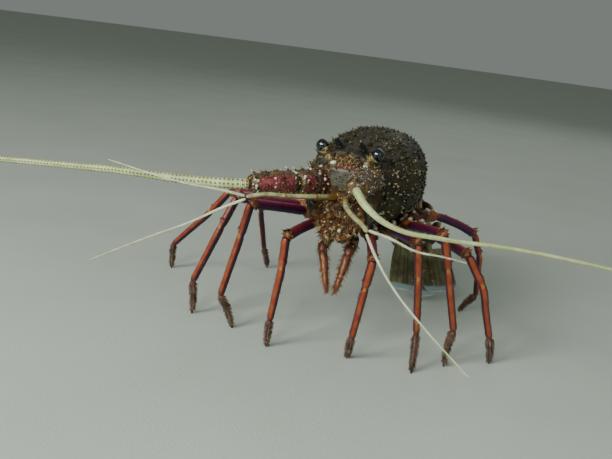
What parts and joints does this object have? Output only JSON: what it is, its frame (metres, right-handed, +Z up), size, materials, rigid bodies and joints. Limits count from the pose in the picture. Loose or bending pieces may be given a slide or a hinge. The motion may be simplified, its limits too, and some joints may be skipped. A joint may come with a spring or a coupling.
{
  "type": "spiny lobster, still life-size model",
  "caption": "Life-size still model of a stripe-legged spiny lobster resting on its ten walking feet, with long spiny-based feelers spread to both sides and the tail curled under.",
  "frame": {"origin": "on the floor, under the middle of the whole outline with the feelers", "axes": "+Z up; the animal faces -Y; +X is towards its left side, and the feelers spread along X"},
  "size_m": [0.6232, 0.2304, 0.1192],
  "materials": {
    "shell": "spiny, speckled, dull wet sheen",
    "eye": "wet gloss",
    "belly": "dull",
    "feeler_foot": "spiny pads, dull wet sheen",
    "feeler_whip": "ringed, satin",
    "face_plate": "dull wet sheen",
    "small_feeler": "satin",
    "jaw_foot": "bristly, satin",
    "thigh": "smooth wet sheen",
    "shin": "smooth wet sheen with dark edges",
    "claw": "bristly, dull",
    "tail": "dull wet sheen",
    "tail_fan": "leathery, satin"
  },
  "bodies": {
    "root": {"carapace": "shell", "eye_r": "eye", "eye_l": "eye", "sternum": "belly", "antenna_r_base": "feeler_foot", "antenna_r_shaft": "feeler_foot", "flagellum_r_1": "feeler_whip", "flagellum_r_2": "feeler_whip", "antenna_l_base": "feeler_foot", "antenna_l_shaft": "feeler_foot", "flagellum_l_1": "feeler_whip", "flagellum_l_2": "feeler_whip", "head_front": "face_plate", "antennule_r_foot": "small_feeler", "antennule_r_outer": "small_feeler", "antennule_r_inner": "small_feeler", "antennule_l_foot": "small_feeler", "antennule_l_outer": "small_feeler", "antennule_l_inner": "small_feeler", "maxilliped_r": "jaw_foot", "maxilliped_l": "jaw_foot", "leg_r1_merus": "thigh", "leg_r1_shin": "shin", "leg_r1_dactyl": "claw", "leg_r2_merus": "thigh", "leg_r2_shin": "shin", "leg_r2_dactyl": "claw", "leg_r3_merus": "thigh", "leg_r3_shin": "shin", "leg_r3_dactyl": "claw", "leg_r4_merus": "thigh", "leg_r4_shin": "shin", "leg_r4_dactyl": "claw", "leg_r5_merus": "thigh", "leg_r5_shin": "shin", "leg_r5_dactyl": "claw", "leg_l1_merus": "thigh", "leg_l1_shin": "shin", "leg_l1_dactyl": "claw", "leg_l2_merus": "thigh", "leg_l2_shin": "shin", "leg_l2_dactyl": "claw", "leg_l3_merus": "thigh", "leg_l3_shin": "shin", "leg_l3_dactyl": "claw", "leg_l4_merus": "thigh", "leg_l4_shin": "shin", "leg_l4_dactyl": "claw", "leg_l5_merus": "thigh", "leg_l5_shin": "shin", "leg_l5_dactyl": "claw", "abdomen_1": "tail", "abdomen_2": "tail", "abdomen_3": "tail", "abdomen_4": "tail", "abdomen_5": "tail", "abdomen_6": "tail", "telson": "tail_fan", "uropod_r": "tail_fan", "uropod_l": "tail_fan"}
  },
  "joints": []
}
